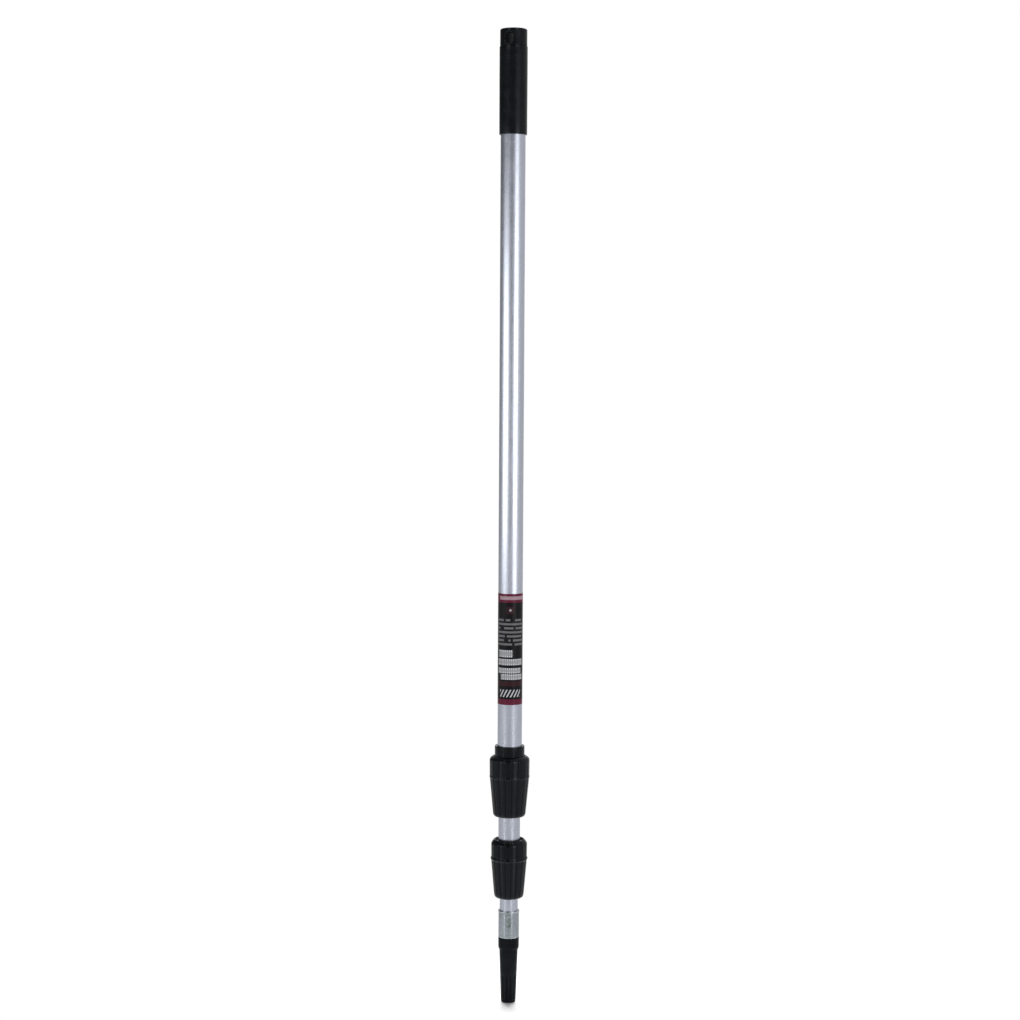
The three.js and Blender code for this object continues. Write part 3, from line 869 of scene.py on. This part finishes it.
def build_guides():
    for prefix, tube_r, bore_r in (
        ("middle", MIDDLE_R, OUTER_R - WALL),
        ("inner", INNER_R, MIDDLE_R - WALL),
    ):
        low, high = span_of(f"{prefix}_guide_ring")
        inner, outer = tube_r - GROOVE_DEPTH + RUNNING, bore_r - RUNNING
        gap = math.degrees(2 / inner)  # the split, 2 mm wide
        outline = rounded((inner, low, 0.2), (outer, low, 0.5), (outer, high, 0.5), (inner, high, 0.2))
        outline = divided(outline, 2)
        ring = revolve(f"{prefix}_guide_band", outline, TUBE_SIDES, start=gap / 2, sweep=360 - gap)
        place(ring, NYLON, f"{prefix}_guide", f"{prefix}_guide_ring")

        low, high = span_of(f"{prefix}_end_plug")
        spigot, head = tube_r - WALL - FIT, bore_r - RUNNING - 0.1
        rim, cup, vent = high - 4, spigot - 1.6, 2.5
        outline = rounded(
            (cup, low, 0.3),
            (spigot, low, 0.4),
            (spigot, rim + FIT),
            (head, rim + FIT, 0.3),
            (head, high, 1.4),
            (vent, high, 0.4),
            (vent, high - 1.6, 0.3),
            (cup, high - 1.6, 0.6),
        )
        plug = revolve(f"{prefix}_end_stopper", divided(outline, 2), TUBE_SIDES)
        place(plug, NYLON, f"{prefix}_section", f"{prefix}_end_plug")


# ---- Tip end.


def crimp_depth(azimuth, height, radius, grow=0.0):
    """How deep the two crimps press, from 0 outside them to 1 on their floors."""
    away = np.abs((azimuth - FRONT + 90) % 180 - 90)
    across = np.radians(away) * radius
    half = CRIMP_WIDTH / 2 + grow
    along = np.maximum(np.abs(height - CRIMP_HEIGHT) - (CRIMP_LENGTH - CRIMP_WIDTH) / 2, 0)
    wall_low, wall_high = CRIMP_WALL
    return 1 - smooth(half + wall_low, half + wall_high, np.hypot(across, along))


def build_ferrule():
    low, high = span_of("ferrule")
    bore, flange_r = INNER_R + FIT, radius_of("ferrule")
    radius = 11.85
    outline = rounded(
        (bore, low, 0.2),
        (radius, low, 0.5),
        (radius, high - 1.9, 0.4),
        (flange_r, high - 1.4, 0.4),
        (flange_r, high, 0.6),
        (bore, high, 0.3),
    )
    outline = divided(outline, 0.45)

    def crimped(azimuth, r, height):
        near = np.abs(height - CRIMP_HEIGHT) < CRIMP_LENGTH
        return r - CRIMP_DEPTH * crimp_depth(azimuth, height, radius) * near

    ferrule = revolve("crimped_ferrule", outline, 240, crimped)
    # The painted dark reflection streak down the front and back, with the jaws' tarnish at the crimps:
    # 3.6 mm wide and fading to 8, and fainter above and below the crimp.
    side = towards(FRONT + 90, 1, 0)
    across = [abs(v.co.dot(side)) / MM for v in ferrule.data.vertices]
    depth = [v.co.z / MM - TIP_END / MM - CRIMP_HEIGHT for v in ferrule.data.vertices]
    lengthwise = 0.45 + 0.55 * (1 - smooth(CRIMP_LENGTH / 2, CRIMP_LENGTH / 2 + 3, np.abs(depth)))
    mark(ferrule.data, "dark_streak_and_jaw_mark", (1 - smooth(1.8, 4.0, np.array(across))) * lengthwise)
    place(ferrule, ZINC_PLATE, "inner_section", "ferrule")


def build_tip():
    top = span_of("tip")[1]
    spigot, band_r, shoulder_r, end_r = INNER_R - WALL - FIT, 11.9, 10.65, 8.7
    shoulder, band_top = 62.4, span_of("ferrule")[0] - 0.3
    wall, floor = 2.2, 9
    outline = rounded(
        (0, 0),
        (end_r - 0.1, 0, 1.3),
        (shoulder_r, shoulder, 0.4),
        (band_r - 0.3, shoulder, 0.4),
        (band_r, shoulder + 3, 0.6),
        (band_r, band_top, 0.5),
        (spigot, band_top, 0.2),
        (spigot, top, 1.0),
        (spigot - wall, top, 0.3),
        (spigot - wall, shoulder, 1.0),
        (end_r - wall, floor, 1.0),
        (0, floor),
    )
    outline = divided(divided(outline, 1.0, 0, 34), 4)
    outline = divided(outline, 0.5, CRIMP_HEIGHT - 6, CRIMP_HEIGHT + 6)

    def grooved(azimuth, radius, height):
        pitch = 360 / TIP_RIBS
        away = np.abs((azimuth - RIB_PHASE + pitch / 2) % pitch - pitch / 2)
        across = np.radians(away) * radius
        outside = radius > end_r - 1.2
        groove = 0.75 * (1 - smooth(0.3, 1.1, across)) + 0.25 * (1 - smooth(0, pitch / 2, away))
        groove = groove * smooth(2.5, 4, height) * (1 - smooth(30, 33, height))
        pocket = crimp_depth(azimuth, height, radius, 0.2) * (np.abs(radius - spigot) < 0.01)
        return radius - groove * outside - CRIMP_DEPTH * pocket

    tip = revolve("tapered_tip", outline, 240, grooved)
    place(tip, TIP_PLASTIC, "inner_section", "tip")


build_tubes()
build_label()
build_grip()
build_cap()
build_locks()
build_guides()
build_ferrule()
build_tip()

# ---- Stage. Metres from here on.


def make_camera():
    distance, height = 2.3768, TIP_END + 0.7403
    pitch, roll, yaw = 4.14, 0.33, -0.028  # degrees
    data = bpy.data.cameras.new("camera")
    data.lens, data.sensor_width = 74.1, 36.0
    data.clip_start, data.clip_end = 0.05, 60.0
    camera = bpy.data.objects.new("camera", data)
    bpy.context.scene.collection.objects.link(camera)
    camera.location = towards(FRONT, distance, height)
    ahead = -towards(FRONT - yaw, 1, math.tan(math.radians(pitch)))
    camera.rotation_mode = "QUATERNION"
    level = ahead.to_track_quat("-Z", "Y")
    camera.rotation_quaternion = level @ Quaternion((0, 0, 1), math.radians(roll))
    bpy.context.scene.camera = camera


def softbox(name, azimuth, distance, low, high, width, radiance):
    """An upright area light that faces the pole. low and high are above the floor."""
    data = bpy.data.lights.new(name, "AREA")
    data.shape = "RECTANGLE"
    data.size, data.size_y = width, high - low
    data.energy = radiance * math.pi * width * (high - low)
    light = bpy.data.objects.new(name, data)
    bpy.context.scene.collection.objects.link(light)
    light.location = towards(azimuth, distance, TIP_END + (low + high) / 2)
    to_pole = -towards(azimuth, 1, 0)
    light.rotation_mode = "QUATERNION"
    light.rotation_quaternion = to_pole.to_track_quat("-Z", "Y")
    light.visible_camera = False


def make_lights():
    """On each side a softbox with a hotter core, two low strips and a top box. Overhead, a broad sun."""
    softbox("left_box", FRONT - 58, 2.0, 0.30, 0.98, 2.0, 1.75)
    softbox("left_core", FRONT - 55, 1.98, 0.48, 0.76, 0.46, 4.4)
    softbox("right_box", FRONT + 38, 2.0, 0.18, 1.20, 1.24, 1.75)
    softbox("right_core", FRONT + 36, 1.98, 0.44, 0.86, 0.42, 5.0)
    for reach, low, high, radiance in ((0.6, 0.03, 0.22, 2.6), (0.3, 0.003, 0.10, 2.0)):
        softbox("left_strip", FRONT - 50, reach, low, high, 0.07 * reach, 0.85 * radiance)
        softbox("right_strip", FRONT + 33, reach, low, high, 0.07 * reach, radiance)
    softbox("left_top", FRONT - 46, 0.8, 1.35, 1.95, 0.35, 5.0)
    softbox("right_top", FRONT + 30, 0.8, 1.35, 1.95, 0.35, 5.0)
    overhead = bpy.data.lights.new("overhead", "SUN")
    overhead.energy = 9.3
    overhead.angle = math.radians(42)
    lamp = bpy.data.objects.new("overhead", overhead)
    bpy.context.scene.collection.objects.link(lamp)
    lamp.visible_glossy = False
    lamp.rotation_mode = "QUATERNION"
    downwards = -towards(FRONT + 180, 0.57, 0.82)
    lamp.rotation_quaternion = downwards.to_track_quat("-Z", "Y")


def make_world():
    """A grey room that is lighter below the horizon, with a white backdrop behind the pole."""
    world = bpy.data.worlds.new("room")
    bpy.context.scene.world = world
    world.use_nodes = True
    room = Graph(world.node_tree)
    direction = room.node("ShaderNodeTexCoord").outputs["Generated"]
    rise = room.node("ShaderNodeSeparateXYZ", {0: direction}).outputs["Z"]

    def facing(azimuth, slope=0.0):
        """How nearly a direction points to an azimuth, with 1 for straight at it."""
        inputs = {0: direction, 1: towards(azimuth, 1, slope)}
        return room.node("ShaderNodeVectorMath", inputs, operation="DOT_PRODUCT").outputs["Value"]

    dark_above = room.remap(rise, -0.02, 0.14)
    dark_above = room.times(dark_above, room.remap(facing(FRONT - 60), -0.5, 0.4))
    dark_left = room.remap(facing(FRONT - 135), 0.45, 0.95)
    dark_left = room.times(dark_left, room.remap(rise, -0.2, -0.06))
    light = room.remap(dark_above, 0.0, 1.0, 0.62, 0.17)
    light = room.times(light, room.remap(dark_left, 0.0, 1.0, 1.0, 0.55))
    light = room.times(light, room.remap(facing(FRONT), 0.86, 0.99, 1.0, 0.84))
    light = room.times(light, room.remap(rise, -0.42, -0.32, 1.7, 1.0))

    edge, middle = math.cos(math.radians(25)), math.cos(math.radians(20.5))
    backdrop = room.remap(facing(FRONT + 180, -0.07), edge, middle)
    camera_ray = room.node("ShaderNodeLightPath").outputs["Is Camera Ray"]
    # An even white on the backdrop and wherever the camera looks, and the room's light elsewhere.
    mixed = {0: room.most(backdrop, camera_ray), 2: light, 3: 1.01}
    background = room.tree.nodes["Background"]
    room.feed(background.inputs["Strength"], room.node("ShaderNodeMix", mixed).outputs[0])
    room.feed(background.inputs["Color"], (1.0, 1.0, 1.0, 1.0))


def make_floor():
    """A pale floor that fades out into the room. It stays under the tip when the pole is drawn out."""
    mesh = bpy.data.meshes.new("floor")
    reach, sides = 2.0, 96
    ring = [towards(360 * k / sides, reach, TIP_END - 0.0001) for k in range(sides)]
    mesh.from_pydata([tuple(p) for p in ring], [], [tuple(range(sides))])
    floor = bpy.data.objects.new("floor", mesh)
    bpy.context.scene.collection.objects.link(floor)
    look = Look("pale_floor", Roughness=0.6)
    cloud = look.noise(look.where, 9.0, 4.0)
    look.set("Base Color", look.blend(cloud, (0.59, 0.59, 0.59, 1), (0.62, 0.62, 0.62, 1)))
    look.set("Alpha", look.remap(look.from_axis(), 0.05, 0.30, 1.0, 0.0))
    mesh.materials.append(look.material)
    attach(floor, "inner_section")


make_camera()
make_lights()
make_world()
make_floor()
bpy.context.scene.view_settings.view_transform = "Standard"

# ---- The end.

bpy.context.view_layer.update()
